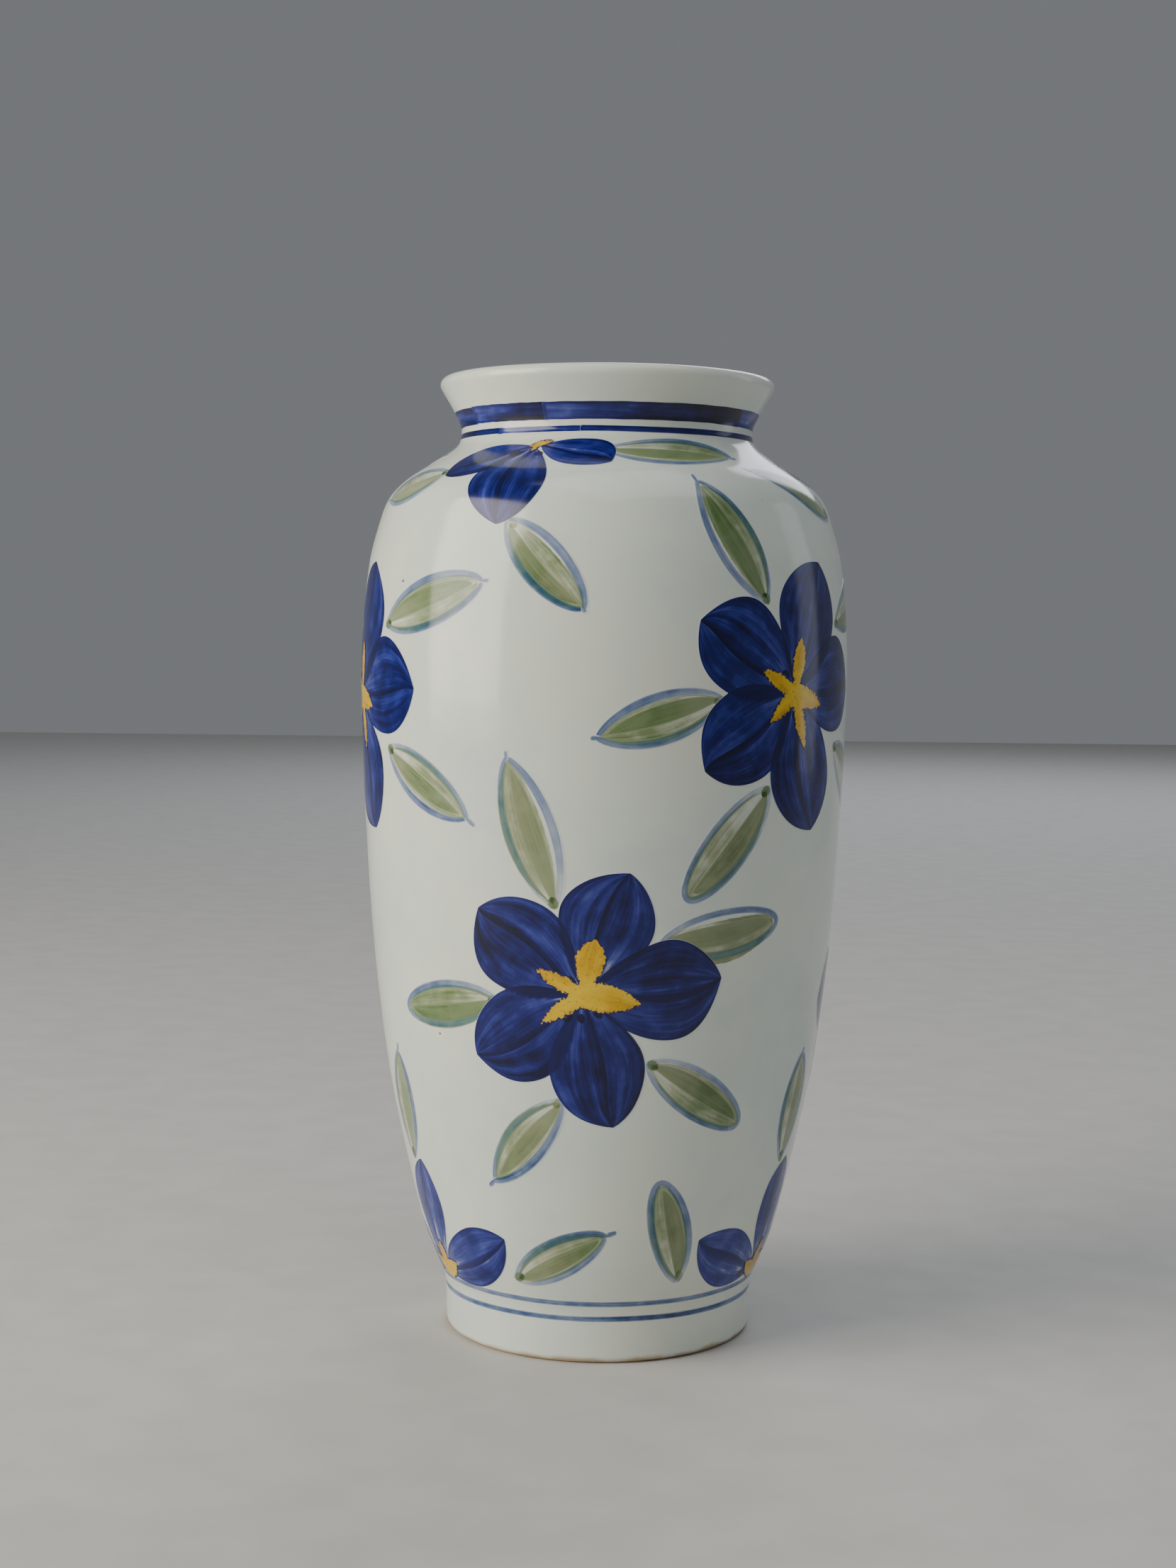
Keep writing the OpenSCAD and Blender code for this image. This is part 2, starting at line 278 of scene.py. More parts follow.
def blade(start, degrees, length, low, high, strength=1.0, rough=0.0):
    """A mark from start along a direction. low and high give its two edges, in mm, by share of length."""
    widest = max(np.max(high(np.linspace(0, 1, 50)) - low(np.linspace(0, 1, 50))), 0.1)

    def flat(along, across):
        bottom, top = low(along), high(along)
        if rough:
            bottom, top = bottom + rough_edge(along, rough), top + rough_edge(along + 0.3, rough)
        width = np.maximum(top - bottom, 0)
        u, v = turned(length * along, bottom + width * across, degrees)
        edge = np.minimum(across, 1 - across) * width
        return start[0] + u, start[1] + v, edge

    def cover(u, v):
        x, y = turned(u - start[0], v - start[1], -degrees)
        share = np.clip(x / length, 0, 1)
        edge = np.minimum(y - low(share), high(share) - y)
        full_at = 0.4    # mm from the edge, where the paint reaches its full strength
        return 0.92 * strength * np.clip(edge / full_at, 0, 1) * ((x > 0) & (x < length))

    return {"flat": flat, "cover": cover, "length": length, "width": widest, "strength": strength}


def ribbon(path, width, strength=1.0, fades=True):
    """A mark of a given width, in mm by share of length, along a path of (u, v) points."""
    gaps = np.hypot(*np.diff(path, axis=0).T)
    far = np.concatenate([[0], np.cumsum(gaps)])
    heading = np.gradient(path, far, axis=0)
    heading /= np.hypot(*heading.T)[:, None]

    def flat(along, across):
        at = along * far[-1]
        u, v, du, dv = (np.interp(at, far, column) for column in (*path.T, *heading.T))
        wide = width(along)
        aside = (across - 0.5) * wide
        edge = np.minimum(across, 1 - across) * wide
        if fades:
            edge = np.minimum(edge, np.minimum(at, far[-1] - at))
        return u - aside * dv, v + aside * du, edge

    return {"flat": flat, "cover": None, "length": far[-1], "width": np.max(width(np.linspace(0, 1, 50))),
            "strength": strength}


print("two kinds of brush mark: blade and ribbon")

# %% [markdown]
# ## Laying marks on the wall
#
# A drawing is wrapped on the wall round a spot: the angle and height of the middle of its motif. On
# the belly u is divided by one radius, as paper is rolled round a can, and v is height. Near the neck
# the wall lies almost flat, so v is measured along the wall and u is divided by the radius there.
# Otherwise the petals would stretch.
#
# Marks that are painted later lie on the earlier ones, a few thousandths of a millimetre higher.
# Each vertex also remembers what the paint needs later: where it is on the stroke, its share of the
# length, how near the edge is, how much paint lies under it, and how full the brush was.

# %% Wrap a mark, and join the marks of one motif
neck_paint_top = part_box("neck_narrow_band")[0].z
foot_paint_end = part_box("foot_upper_line")[1].z
skin = 0.08 * mm


def wrapped(spot, u, v):
    """Angle and height on the wall of a place on the flat drawing."""
    if spot["roll"]:
        return spot["angle"] + u * mm / spot["roll"], spot["z"] + v * mm
    z = np.interp(np.interp(spot["z"], heights, runs) + v * mm, runs, heights)
    return spot["angle"] + u * mm / np.interp(z, heights, radii), z


def lay_mark(mark, spot, lift, under, along, across):
    bpy.ops.mesh.primitive_grid_add(x_subdivisions=along, y_subdivisions=across, size=1)
    mesh = bpy.context.object.data
    grid = np.empty(3 * len(mesh.vertices))
    mesh.vertices.foreach_get("co", grid)
    share, side = grid[0::3] + 0.5, grid[1::3] + 0.5
    u, v, edge = mark["flat"](share, side)
    angle, z = wrapped(spot, u, v)
    mesh.vertices.foreach_set("co", wall_points(angle, z, lift).ravel())
    below = sum((m["cover"](u, v) for m in under if m["cover"]), np.zeros(len(u)))
    seed = dice.random() * 50
    stroke = np.column_stack([share * mark["length"], side * mark["width"], np.full(len(u), seed)])
    coat = np.column_stack([edge, below, np.full(len(u), mark["strength"])])
    mesh.attributes.new("stroke", "FLOAT_VECTOR", "POINT").data.foreach_set("vector", stroke.ravel())
    mesh.attributes.new("coat", "FLOAT_VECTOR", "POINT").data.foreach_set("vector", coat.ravel())
    mesh.attributes.new("share", "FLOAT", "POINT").data.foreach_set("value", share)
    mesh.update()
    return bpy.context.object


def paint(name, marks, spot, lift, layer, grid, under=(), cycle=99):
    """One piece from many marks. Each lies on those before it, and on the marks named in under.
    Marks that never lie on each other can share a height: the heights repeat after each cycle."""
    laid = []
    for i, mark in enumerate(marks):
        laid.append(lay_mark(mark, spot, lift + i % cycle * layer, [*under, *marks[:i]], *grid))
    bpy.ops.object.select_all(action="DESELECT")
    for part in laid:
        part.select_set(True)
    bpy.context.view_layer.objects.active = laid[0]
    bpy.ops.object.join()
    piece = named(name)
    bpy.ops.object.mode_set(mode="EDIT")
    bpy.ops.mesh.select_all(action="SELECT")
    bpy.ops.mesh.remove_doubles(threshold=0.001 * mm)
    if spot.get("trim", True):
        bpy.ops.mesh.select_all(action="SELECT")
        bpy.ops.mesh.bisect(plane_co=(0, 0, foot_paint_end), plane_no=(0, 0, 1), clear_inner=True)
        bpy.ops.mesh.select_all(action="SELECT")
        bpy.ops.mesh.bisect(plane_co=(0, 0, neck_paint_top), plane_no=(0, 0, 1), clear_outer=True)
    bpy.ops.object.mode_set(mode="OBJECT")
    piece.location = (0, 0, 0)
    give_thickness(piece, skin)
    return piece


print("paint stays between, mm:", round(foot_paint_end / mm, 1), round(neck_paint_top / mm, 1))

# %% [markdown]
# ## The pattern
#
# The vase has four rows of flowers, three to a row. A spot says where a flower sits. Its petals are
# [direction, length] in the order in which they are painted, so the last one lies on top. The arms of
# the yellow star are [direction, length, width, how far out it is fattest]. A leaf is [direction and
# distance of its stalk end from the middle of the flower, direction and length of the leaf, how pointed
# its tip is, how far the green slips sideways out of its line]. Directions are in degrees and lengths
# in mm. A flower is [angle round the vase, height, a small turn of the whole flower, its leaves].

# %% Where the flowers are
middle_petals = [[73, 38], [144, 40], [214, 40], [280, 41], [2, 42]]
middle_star = [[79, 17, 8.5, 1.7], [153, 16.5, 4.4, 1.0], [215, 16, 4.6, 0.9], [351, 17.5, 8.5, 0.75]]
middle_leaves = [[108, 27, 108, 45, 1.5, 1.8], [34, 26, 8, 40, 1.0, -2.4], [186, 27, 189, 38, 1.1, 1.0],
                 [258, 33, 226, 37, 1.6, -1.2], [314, 29, 329, 40, 1.0, -0.5]]
upper_petals = [[70, 42], [147, 41], [212, 40], [284, 43], [5, 41]]
upper_star = [[79, 17, 5.5, 1.5], [154, 16, 4.6, 1.0], [219, 14, 4.6, 0.9], [345, 15, 6.5, 0.8],
              [289, 18, 4.6, 1.2]]
upper_leaves = [[113, 29, 121, 40, 1.5, -1.4], [183, 28, 197, 39, 1.5, 0.8], [250, 30, 229, 42, 1.0, 0.4],
                [39, 33, 15, 43, 1.2, -0.6], [328, 31, 329, 40, 1.5, 0.9]]
neck_petals = [[262, 34], [206, 32], [344, 28]]
neck_star = [[25, 5, 2.6, 1.4], [205, 2.5, 2.4, 1.0], [262, 4.5, 1.8, 1.0]]
neck_leaves = [[207, 31, 197, 34, 1.5, 0.5], [354, 22, 356, 42, 1.6, 0.6], [272, 33, 314, 36, 1.3, -1.2],
               [226, 37.5, 151, 33, 1.4, 0.6]]
foot_petals = [[158, 38], [24, 38], [91, 37]]
foot_star = [[150, 9, 4.4, 1.0], [30, 10, 5, 1.0], [85, 11, 4.6, 1.3]]
foot_leaves = [[95, 37, 87, 34, 1.6, 0.4], [7, 36.5, 30, 33, 1.2, 0.6], [175, 39.5, 106, 34, 1.1, 0.4]]
rows = {
    "neck": [0, neck_petals, neck_star, neck_leaves,
             [[-24, 276, 0, [0, 1, 2]], [97, 275, 0, [1, 2, 3]], [217, 276, 3, [0, 1, 2]]]],
    "upper": [76.5, upper_petals, upper_star, upper_leaves,
              [[47.5, 203.5, 0, [0, 1, 2, 3, 4]], [166, 198, -6, [0, 1, 2, 3, 4]],
               [-78, 201, 2, [0, 2, 3, 4]]]],
    "middle": [72, middle_petals, middle_star, middle_leaves,
               [[-4, 116, 0, [0, 1, 2, 3, 4]], [104, 109, -36, [0, 1, 4]], [226, 116, 4, [2, 3, 4]]]],
    "foot": [56, foot_petals, foot_star, foot_leaves,
             [[-64, 21, 0, [0, 1]], [67, 22, 0, [0, 1, 2]], [179, 21, 0, [0, 1]]]],
}
print("flowers:", sum(len(row[4]) for row in rows.values()))

# %% [markdown]
# ## Petals
#
# The painter makes a petal with two fat strokes of a loaded brush, side by side, each like a comma.
# They start at the middle of the flower, bow outwards, overlap a little along the middle of the petal
# and run together in a small hooked tip. So a petal is two blades. One formula gives the outline: a
# rounded shape, widest past the middle, with a blunt corner on its end.

# %% Petals
petal_w = 29.5


def petal_half(share):
    """Half the width of a petal, from 0 to 1."""
    rounded = np.sin(math.pi * np.clip(share / 1.01, 0, 1) ** 1.25) ** 0.58
    corner = np.maximum(4.4 * (1 - share) ** 0.85, 1e-6)
    return (np.maximum(rounded, 1e-6) ** -6 + corner ** -6) ** (-1 / 6)


def petal(degrees, length, wide, strength):
    """The two strokes of one petal."""
    half = wide / 2
    hook = dice.choice([-1, 1]) * dice.uniform(1.0, 3.0)
    bow = dice.choice([-1, 1]) * dice.uniform(0.08, 0.2)
    overlap = dice.uniform(0.03, 0.07)

    def bend(share):
        return hook * share**9

    def left_low(share):
        edge = half * petal_half(share)
        return bend(share) + np.maximum(edge * (bow * np.sin(math.pi * share) - overlap) - 0.5, -edge)

    def left_high(share):
        return bend(share) + half * petal_half(share) * (1 + 0.03 * np.sin(9 * share + bow * 30))

    def right_low(share):
        return bend(share) - half * petal_half(share) * (1 + 0.03 * np.sin(8 * share + bow * 40))

    def right_high(share):
        edge = half * petal_half(share)
        return bend(share) + np.minimum(edge * (bow * np.sin(math.pi * share) + overlap) + 0.5, edge)

    start = turned(1.5, 0, degrees)
    reach = length - 1.5
    left = blade(start, degrees, reach, left_low, left_high, strength * dice.uniform(0.85, 1.1))
    right = blade(start, degrees, reach, right_low, right_high, strength * dice.uniform(0.85, 1.1))
    return [left, right] if dice.random() < 0.5 else [right, left]


def leaf_half(share, point):
    """Half the width of a leaf, from 0 to 1. The stalk end is pointed, and the tip as point says."""
    turn = np.arccos(np.clip(1 - 2 * share, -1, 1))
    power = 1.5 + (point - 1.5) * turn / math.pi
    return np.maximum(np.sin(turn), 0) ** power


def drop(place, degrees, length, wide, strength, rough=0.25):
    """A short dab with hairy edges."""
    return blade(place, degrees, length, lambda s: -wide / 2 * leaf_half(s, 1.0),
                 lambda s: wide / 2 * leaf_half(s, 1.0), strength, rough)


petal_lift = 0.065 * mm
layer = 0.006 * mm
flower_marks = {}
spots = {}
pieces = []
for row_name, (roll, petals, star, leaves, flowers) in rows.items():
    for number, (angle, height, turn, leaf_numbers) in enumerate(flowers, 1):
        spot = {"angle": math.radians(angle), "z": height * mm, "roll": roll * mm}
        spots[row_name, number] = spot
        marks = []
        for degrees, length in petals:
            side_petal = row_name == "neck" and degrees != 262
            wide = 15.5 if side_petal else 18.5 if row_name == "foot" else petal_w * length / 41
            marks += petal(degrees + turn, length, wide, 0.7 if row_name == "foot" else 1.0)
        for dab in range(7 if row_name in ("upper", "middle") else 2):
            around = 130 + 34 * dab + turn + dice.uniform(-8, 8)
            away = dice.uniform(3.5, 6.5)
            if row_name == "neck":
                around = 235 + 50 * dab
            marks.append(drop(turned(away, 0, around), around + dice.uniform(-50, 50), dice.uniform(3, 5),
                              dice.uniform(2.2, 3.6), 1.0))
        flower_marks[row_name, number] = marks
        flower = paint(f"{row_name}_petals_{number}", marks, spot, petal_lift, layer, (64, 15))
        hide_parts(f"{row_name}_flower_{number}")
        pieces.append((flower, "cobalt_paint"))
print("petal marks:", sum(len(m) for m in flower_marks.values()))

# %% [markdown]
# ## The yellow stars
#
# The middle of each flower is a ragged star of thick yellow enamel, dabbed on with a stiff brush. Its
# arms run out along the petals. They have hairy edges, so each arm is a blade with a rough outline.

# %% Stars
star_lift = petal_lift + 0.09 * mm


def star_arm(degrees, length, wide, fat):
    """One arm. It is fattest near the middle of the flower or further out, and pointed at its end."""
    back = 2.5
    start = turned(-back, 0, degrees)
    half = wide / 2 + 0.4
    return blade(start, degrees, length + back,
                 lambda s: -half * np.sin(math.pi * s**fat) ** 0.8,
                 lambda s: half * np.sin(math.pi * s**fat) ** 0.8, dice.uniform(0.85, 1.05), 0.18)


for row_name, (roll, petals, star, leaves, flowers) in rows.items():
    for number, (angle, height, turn, leaf_numbers) in enumerate(flowers, 1):
        arms = [star_arm(degrees + turn, length, wide, fat) for degrees, length, wide, fat in star]
        size = {"neck": 2.5, "foot": 4.5}.get(row_name, 9)
        arms.insert(0, drop(turned(-size / 2, -0.5, turn), turn, size, 0.85 * size, 1.0, 0.2))
        centre = paint(f"{row_name}_star_{number}", arms, spots[row_name, number], star_lift, layer,
                       (60, 8))
        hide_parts(f"{row_name}_centre_{number}")
        pieces.append((centre, "yellow_paint"))
print("stars done")

# %% [markdown]
# ## Leaves
#
# A leaf has two parts. First comes a wash: one or two loose strokes of thin green. Then a fine brush
# draws its outline in pale blue, in two strokes that start at the stalk and meet at the tip. The line
# never follows the wash exactly, and that is what makes it look painted by hand. The wash is two
# blades, and the outline is two ribbons that follow the edge of the leaf and run on past its tip.

# %% Washes and outlines
wash_lift = 0.03 * mm
line_lift = 0.05 * mm


def leaf_wash(start, degrees, length, wide, point, slip):
    """Two strokes of green: a pale one over the whole leaf and a second one along one side."""
    inset = 0.02 * length
    inner = wide + dice.uniform(-0.8, 1.0)
    pale, deep = dice.uniform(0.4, 0.6), dice.uniform(0.15, 0.55)
    side = dice.choice([-1, 1])

    def edge(part, share):
        return slip * np.sin(math.pi * share) + part * inner / 2 * leaf_half(share, point)

    ahead = turned(inset, 0, degrees)
    begin = (start[0] + ahead[0], start[1] + ahead[1])
    reach = length - 2 * inset
    whole = blade(begin, degrees, reach, lambda s: edge(-1, s), lambda s: edge(1, s), pale, 0.1)
    second = blade(begin, degrees, 0.95 * reach, lambda s: edge(min(-0.8 * side, 0.15 * side), s),
                   lambda s: edge(max(-0.8 * side, 0.15 * side), s), deep)
    return [whole, second]


def leaf_line(start, degrees, length, wide, point, side, slide):
    """One side of the outline. A round tip is followed round, and a pointed one is overshot."""
    run_on = 0.16 if point < 1.15 else 0.0
    turn = np.linspace(0.02, math.pi * (1 + run_on * (side > 0)), 80)
    power = 1.5 + (point - 1.5) * np.minimum(turn / math.pi, 1)
    across = side * wide / 2 * np.sign(np.sin(turn)) * np.abs(np.sin(turn)) ** power
    x = length / 2 * (1 - np.cos(turn))
    if point >= 1.15:
        past = dice.uniform(1, 4) if side > 0 else dice.uniform(-1, 1.5)
        x = np.append(x, length + np.array([0.4, 1.0]) * max(past, 0.2))
        across = np.append(across, -side * np.array([0.2, 0.6]))
    u, v = turned(x + slide, across, degrees)
    thick = dice.uniform(2.5, 3.2)
    strength = dice.uniform(0.5, 0.9)
    ends = 0.75 if point < 1.15 else 0.45
    return ribbon(np.column_stack([start[0] + u, start[1] + v]),
                  lambda s: thick * (ends + (1 - ends) * np.sin(math.pi * s) ** 0.5),
                  strength, fades=point >= 1.15)


leaf_w = 13.0
for row_name, (roll, petals, star, leaves, flowers) in rows.items():
    for number, (angle, height, turn, leaf_numbers) in enumerate(flowers, 1):
        washes, lines = [], []
        for i in leaf_numbers:
            stalk_dir, stalk_far, degrees, length, point, slip = leaves[i]
            start = turned(stalk_far, 0, stalk_dir + turn)
            wide = leaf_w * dice.uniform(0.92, 1.08) * (0.85 if length < 36 else 1)
            washes += leaf_wash(start, degrees + turn, length, wide, point, slip)
            slide = dice.uniform(-0.8, 0.4)
            for side in (-1, 1):
                lines.append(leaf_line(start, degrees + turn, length, wide, point, side, slide))
            stalk = turned(stalk_far - 1, 0, stalk_dir + turn)
            washes.append(drop(stalk, degrees + turn, 4, 3, dice.choice([0.3, 1.2])))
        spot = spots[row_name, number]
        green = paint(f"{row_name}_washes_{number}", washes, spot, wash_lift, layer, (52, 10), cycle=3)
        blue = paint(f"{row_name}_lines_{number}", lines, spot, line_lift, layer, (64, 5), washes, 2)
        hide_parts(f"{row_name}_leaf_washes")
        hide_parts(f"{row_name}_leaf_outlines")
        pieces += [(green, "green_paint"), (blue, "blue_line_paint")]
print("pieces of paint so far:", len(pieces))

# %% [markdown]
# ## Bands
#
# The bands round the neck and the foot are painted on a turntable: the brush is held still and the
# vase turns under it. On the neck the brush runs dry and is loaded again, so a band there is a few long
# ribbons that overlap at their ends, some darker than others. Those strengths are partly painted light
# too: the pale stretches just left of the front are a painted window reflection, and the darker
# stretches on the right are painted shade. A thin line round the foot is a single stroke that meets its
# own start at the back. The edges wander by about a tenth of a millimetre. A closed ring would be
# quicker to make, but it would look printed.

# %% Bands round the neck and the foot
band_lift = 0.05 * mm
# Each stretch is [first angle, last angle, strength], in degrees from the front. On the neck the weak
# stretches just left of the front are partly a painted window reflection, and the strong ones on the right
# are partly painted shade.
bands = {
    "neck_broad_band": ["cobalt_paint",
                        [[-190, -58, 1.1], [-60, -22, 1.3], [-24, 62, 1.6], [60, 172, 1.4]]],
    "neck_narrow_band": ["cobalt_paint", [[-186, -42, 1.0], [-45, -8, 0.6], [-10, 176, 1.3]]],
    "foot_upper_line": ["blue_line_paint", [[-187, 175, 0.9]]],
    "foot_lower_line": ["blue_line_paint", [[-183, 180, 1.05]]],
}


def band_mark(first, last, radius, wide, strength):
    at = np.linspace(math.radians(first), math.radians(last), 320)
    a, b = dice.random(2) * 2 * math.pi
    wander = 0.08 * np.sin(3 * at + a) + 0.04 * np.sin(7 * at + b)
    path = np.column_stack([at * radius / mm, wander])

    def width(share):
        return wide * (1 + 0.012 * np.sin(23 * share + a) + 0.01 * np.sin(51 * share + b))

    def cover(u, v):
        from_end = np.minimum(u - path[0, 0], path[-1, 0] - u)
        return 0.5 * strength * np.clip(from_end / 3, 0, 1)

    mark = ribbon(path, width, strength)
    mark["cover"] = cover
    return mark


for name, (finish, stretches) in bands.items():
    band_low, band_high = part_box(name)
    middle = (band_low.z + band_high.z) / 2
    radius = np.interp(middle, heights, radii)
    bleed = 0.2 if finish == "cobalt_paint" else 0.9    # a thin line has a soft edge of this many mm
    wide = (band_high.z - band_low.z) / mm + bleed
    marks = [band_mark(first, last, radius, wide, strength) for first, last, strength in stretches]
    spot = {"angle": 0, "z": middle, "roll": radius, "trim": False}
    steps = 360 if len(marks) == 1 else 190
    band = paint(f"{name}_strokes", marks, spot, band_lift, layer, (steps, 6))
    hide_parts(name)
    pieces.append((band, finish))
print("painted pieces:", len(pieces))

# %% [markdown]
# ## Materials
#
# A material here is a small tree of nodes. One helper adds a node with its settings and links, and one
# turns a colour as a painter would write it, in sRGB hex, into the linear numbers that Blender needs.

# %% Helpers for materials
def hex_to_linear(code):
    parts = [int(code[i:i + 2], 16) / 255 for i in (1, 3, 5)]
    return tuple(c / 12.92 if c <= 0.04045 else ((c + 0.055) / 1.055) ** 2.4 for c in parts) + (1.0,)


def add(tree, kind, settings=None, links=None):
    """Adds a node. kind is its Blender type without the word ShaderNode in front. Settings name a
    property or an input, and links give the outputs that feed inputs."""
    node = tree.nodes.new("ShaderNode" + kind)
    for name, value in (settings or {}).items():
        if name == "stops":
            ramp = node.color_ramp
            while len(ramp.elements) < len(value):
                ramp.elements.new(0.5)
            for stop, (place, code) in zip(ramp.elements, value):
                stop.position = place
                stop.color = hex_to_linear(code)
        elif isinstance(name, int) or name in node.inputs:
            node.inputs[name].default_value = value
        else:
            setattr(node, name, value)
    for name, source in (links or {}).items():
        tree.links.new(source, node.inputs[name])
    return node


def new_material(name):
    material = bpy.data.materials.new(name)
    material.use_nodes = True
    material.node_tree.nodes.clear()
    return material


def per_mm(size):
    """Scale of a noise whose features are about this many millimetres across."""
    return 1 / (size * mm)


print("fired cobalt in linear numbers:", [round(c, 3) for c in hex_to_linear("#131D6E")[:3]])

# %% [markdown]
# ### Glaze
#
# The glaze is a clear glass, about half a millimetre thick, over pale clay. It gives a glossy surface
# with a bluish, slightly uneven white. Two colours and a slow noise make the unevenness. A Voronoi
# pattern scatters a few dark iron specks: only the cells whose point happens to lie in the surface
# show one. Near the foot the glaze is thin and the clay's warm colour comes through. The same nodes
# give the ground under every brush mark, so that soft edges of paint melt into the glaze.

# %% Colour and gloss of the glaze
def glaze_ground(tree):
    """Colour of bare glaze at any place."""
    where = add(tree, "TexCoord").outputs["Object"]
    slow = add(tree, "TexNoise", {"Scale": per_mm(60), "Detail": 2.0}, {"Vector": where})
    cloud = add(tree, "TexNoise", {"Scale": per_mm(9), "Detail": 3.0}, {"Vector": where})
    both = add(tree, "Math", {"operation": "MULTIPLY_ADD", 1: 0.35},
               {0: cloud.outputs["Fac"], 2: slow.outputs["Fac"]})
    whites = [(0.5, "#D8E3DD"), (0.68, "#E0EAE1"), (0.85, "#E7ECDF")]
    tone = add(tree, "ValToRGB", {"stops": whites}, {"Fac": both.outputs[0]})
    cells = add(tree, "TexVoronoi", {"Scale": per_mm(15)}, {"Vector": where})
    chance = add(tree, "SeparateColor", {}, {"Color": cells.outputs["Color"]})
    reach = add(tree, "MapRange", {1: 0.3, 2: 1.0, 3: 0.01, 4: 0.035}, {0: chance.outputs[0]})
    speck = add(tree, "Math", {"operation": "LESS_THAN"},
                {0: cells.outputs["Distance"], 1: reach.outputs[0]})
    speckled = add(tree, "Mix", {"data_type": "RGBA", 7: hex_to_linear("#6E655A")},
                   {0: speck.outputs[0], 6: tone.outputs[0]})
    height = add(tree, "SeparateXYZ", {}, {0: where})
    ragged = add(tree, "Math", {"operation": "MULTIPLY_ADD", 1: -4 * mm},
                 {0: cloud.outputs["Fac"], 2: height.outputs["Z"]})
    thin = add(tree, "MapRange",
               {"interpolation_type": "SMOOTHSTEP", 1: -1.6 * mm, 2: 0.6 * mm, 3: 0.8, 4: 0.0},
               {0: ragged.outputs[0]})
    return add(tree, "Mix", {"data_type": "RGBA", 7: hex_to_linear("#B79A72")},
               {0: thin.outputs[0], 6: speckled.outputs[2]}).outputs[2]


def glaze_gloss(tree, colour):
    """Finishes a tree as glossy glaze: smooth, with the faint ripples that a melted glass keeps."""
    where = add(tree, "TexCoord").outputs["Object"]
    ripple = add(tree, "TexNoise", {"Scale": per_mm(7), "Detail": 2.0}, {"Vector": where})
    rough = add(tree, "MapRange", {1: 0.3, 2: 0.7, 3: 0.11, 4: 0.18},
                {0: ripple.outputs["Fac"]})
    bump = add(tree, "Bump", {"Strength": 0.12, "Distance": 0.1 * mm},
               {"Height": ripple.outputs["Fac"]})
    shader = add(tree, "BsdfPrincipled", {"IOR": 1.52},
                 {"Base Color": colour, "Roughness": rough.outputs[0], "Normal": bump.outputs[0]})
    add(tree, "OutputMaterial", {}, {"Surface": shader.outputs[0]})


glaze = new_material("dipped_white_glaze")
glaze_gloss(glaze.node_tree, glaze_ground(glaze.node_tree))
print("material:", glaze.name)

# %% [markdown]
# ### Paint
#
# The colour of a wash depends on how much pigment lies on the spot. A full brush leaves fine streaks
# along the stroke, wider light and dark lanes, and a darker line where the paint pools at the edge.
# Where strokes cross, the pigment adds up. So the nodes work out an amount of pigment first, from the
# stroke's own coordinates, and a colour ramp then turns it into a colour. Bristle tracks are about
# 0.4 mm apart on the real vase. They are drawn 0.8 mm apart here, or they would be lost in the render.

# %% How much pigment
def pigment(tree, track=0.8, edge_soft=0.45, pool=0.3, lane=0.5, on_wet=1.0):
    """Outputs: pigment of this stroke, its coverage, and the pigment under it. lane is the least share
    of pigment in a lane, and on_wet the share that a stroke leaves where there is paint already."""
    stroke = add(tree, "Attribute", {"attribute_name": "stroke"}).outputs["Vector"]
    coat = add(tree, "Attribute", {"attribute_name": "coat"}).outputs["Vector"]
    share = add(tree, "Attribute", {"attribute_name": "share"}).outputs["Fac"]
    edge, under, strength = add(tree, "SeparateXYZ", {}, {0: coat}).outputs
    tracks = add(tree, "Mapping", {"Scale": (1 / 16, 1 / track, 1)}, {"Vector": stroke})
    lanes = add(tree, "Mapping", {"Scale": (1 / 26, 1 / (5 * track), 1)}, {"Vector": stroke})
    fine = add(tree, "TexNoise", {"Scale": 1.0, "Detail": 4.0}, {"Vector": tracks.outputs[0]})
    broad = add(tree, "TexNoise", {"Scale": 1.0, "Detail": 2.0}, {"Vector": lanes.outputs[0]})
    fine_part = add(tree, "MapRange", {1: 0.3, 2: 0.7, 3: 0.72, 4: 1.22},
                    {0: fine.outputs["Fac"]})
    broad_part = add(tree, "MapRange", {1: 0.32, 2: 0.68, 3: lane, 4: 1.2},
                     {0: broad.outputs["Fac"]})
    loaded = add(tree, "MapRange", {1: 0.05, 2: 0.55, 3: 0.45, 4: 1.1}, {0: share})
    pooled = add(tree, "MapRange",
                 {"interpolation_type": "SMOOTHSTEP", 1: 0.1, 2: 1.3, 3: pool, 4: 0.0},
                 {0: edge})
    blots = add(tree, "TexNoise", {"Scale": 0.2, "Detail": 4.0}, {"Vector": stroke})
    blot_part = add(tree, "MapRange", {1: 0.35, 2: 0.65, 3: 0.75, 4: 1.2},
                    {0: blots.outputs["Fac"]})
    brushed = add(tree, "Math", {"operation": "MULTIPLY"},
                  {0: fine_part.outputs[0], 1: broad_part.outputs[0]})
    streaks = add(tree, "Math", {"operation": "MULTIPLY"},
                  {0: brushed.outputs[0], 1: blot_part.outputs[0]})
    amount = add(tree, "Math", {"operation": "MULTIPLY_ADD"},
                 {0: streaks.outputs[0], 1: loaded.outputs[0], 2: pooled.outputs[0]})
    own = add(tree, "Math", {"operation": "MULTIPLY"}, {0: amount.outputs[0], 1: strength})
    thinned = add(tree, "MapRange", {1: 0.0, 2: 1.0, 3: 1.0, 4: on_wet}, {0: under})
    laid = add(tree, "Math", {"operation": "MULTIPLY"},
               {0: own.outputs[0], 1: thinned.outputs[0]})
    cover = add(tree, "MapRange", {"interpolation_type": "SMOOTHSTEP", 1: 0.0, 2: edge_soft},
                {0: edge})
    return laid.outputs[0], cover.outputs[0], under


print("paint is worked out from how much pigment lies on each spot")

# %% [markdown]
# Cobalt is the strongest blue that a kiln can fire. A thin wash of it is a greyish blue, and a double
# layer is almost black. The ramp goes through those colours.

